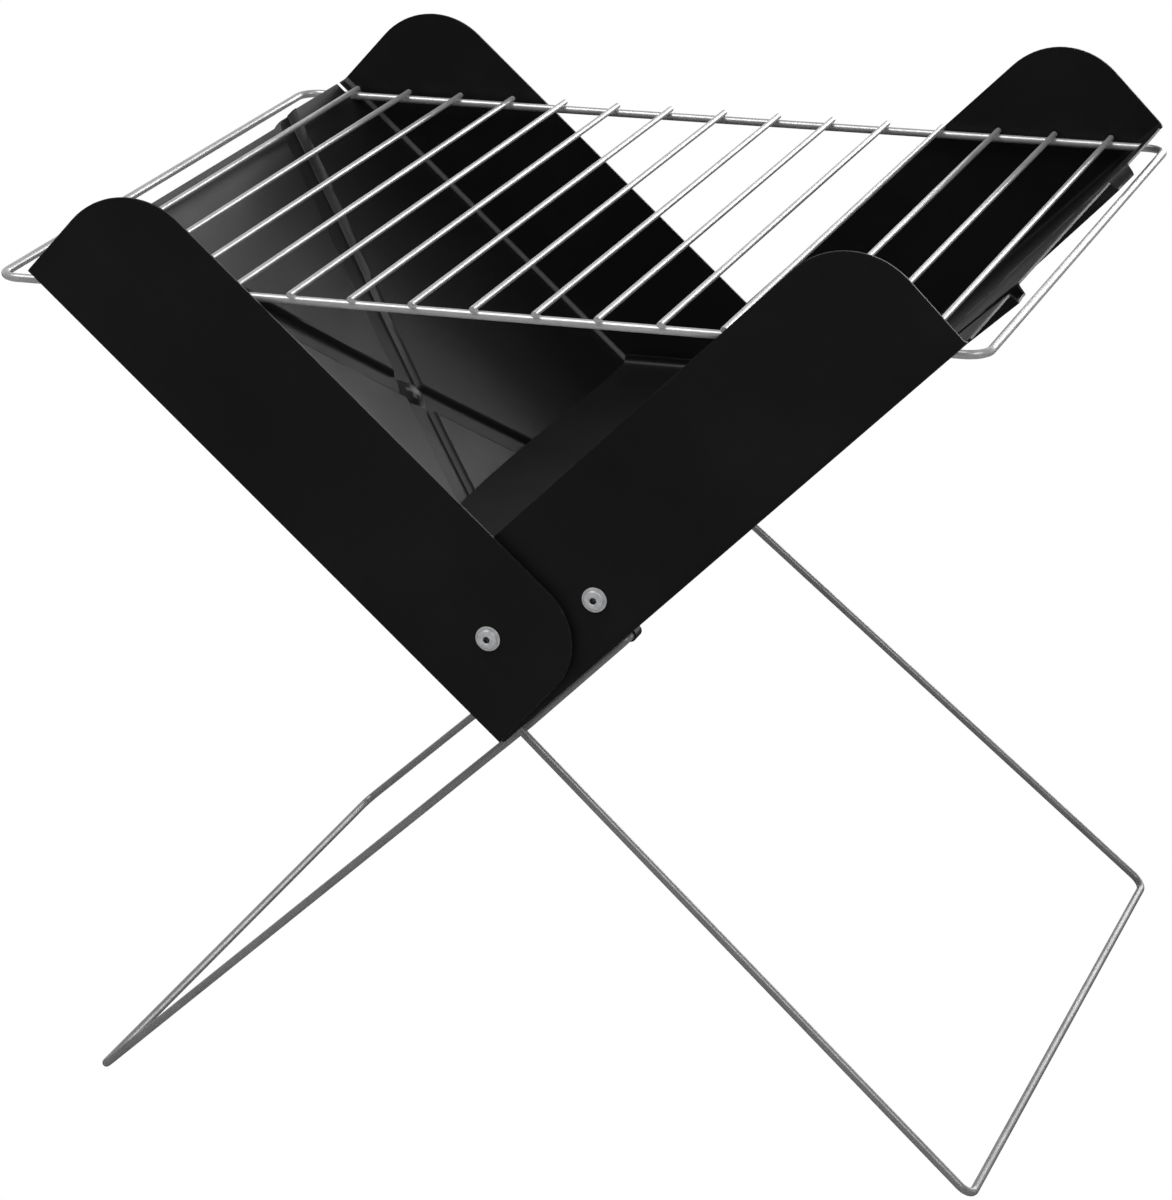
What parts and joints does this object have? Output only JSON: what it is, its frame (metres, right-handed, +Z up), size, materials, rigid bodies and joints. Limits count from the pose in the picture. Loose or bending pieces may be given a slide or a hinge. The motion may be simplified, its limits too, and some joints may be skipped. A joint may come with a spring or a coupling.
{
  "type": "folding_camp_grill",
  "caption": "Folding charcoal camp grill: two black pressed steel trays hinged to a V, wire legs crossing below, lift-off wire grate and level charcoal plate",
  "frame": {"origin": "on the ground, under the middle of the grill's bounding box", "axes": "+X runs across the V from the outer tray to the inner tray, along the ends of the grate; +Y runs along the trays' hinge axis from the front to the rear, and the grill is mirrored about the XZ plane; +Z is up"},
  "size_m": [0.469, 0.3996, 0.4473],
  "materials": {
    "black_sheet": "matte heat-proof black",
    "chrome_wire": "bright plated wire",
    "zinc": "zinc plated"
  },
  "bodies": {
    "outer": {"outer_tray": "black_sheet", "pivot_bolt_front": "zinc", "pivot_bolt_rear": "zinc", "pivot_spacer_front": "zinc", "pivot_spacer_rear": "zinc", "pivot_washer_front": "zinc", "pivot_washer_rear": "zinc", "pivot_nut_front": "zinc", "pivot_nut_rear": "zinc", "wide_clip_front": "black_sheet", "wide_clip_rear": "black_sheet", "wide_clip_rivets": "zinc"},
    "inner": {"inner_tray": "black_sheet", "plate_bolt_front": "zinc", "plate_bolt_rear": "zinc", "plate_washer_front": "zinc", "plate_washer_rear": "zinc", "plate_nut_front": "zinc", "plate_nut_rear": "zinc", "narrow_clip_front": "black_sheet", "narrow_clip_rear": "black_sheet", "narrow_clip_rivets": "zinc"},
    "plate": {"coal_plate": "black_sheet"},
    "grate": {"grate_frame": "chrome_wire", "grate_rods": "chrome_wire"},
    "wide": {"wide_leg": "chrome_wire"},
    "narrow": {"narrow_leg": "chrome_wire"}
  },
  "joints": [
    {"name": "tray_fold", "type": "hinge", "parent": "outer", "child": "inner", "pos_m": [0.0065, 0, 0.25423], "axis": [0, -1, 0], "range_deg": [0, 93.4]},
    {"name": "wide_leg_swing", "type": "hinge", "parent": "outer", "child": "wide", "pos_m": [-0.04228, 0, 0.24787], "axis": [0, 1, 0], "range_deg": [0, 176]},
    {"name": "narrow_leg_swing", "type": "hinge", "parent": "inner", "child": "narrow", "pos_m": [0.05917, 0, 0.24518], "axis": [0, -1, 0], "range_deg": [0, 176]},
    {"name": "coal_plate_flip", "type": "hinge", "parent": "inner", "child": "plate", "pos_m": [0.05622, 0, 0.27652], "axis": [0, 1, 0], "range_deg": [0, 137]},
    {"name": "grate_lift", "type": "slide", "parent": "outer", "child": "grate", "axis": [0, 0, 1], "range_m": [0, 0.66]}
  ],
  "couplings": [
    {"joint": "narrow_leg_swing", "follows": "wide_leg_swing", "ratio": 1},
    {"joint": "coal_plate_flip", "follows": "tray_fold", "ratio": 1.456},
    {"joint": "grate_lift", "follows": "tray_fold", "m_per_rad": 0.4}
  ]
}
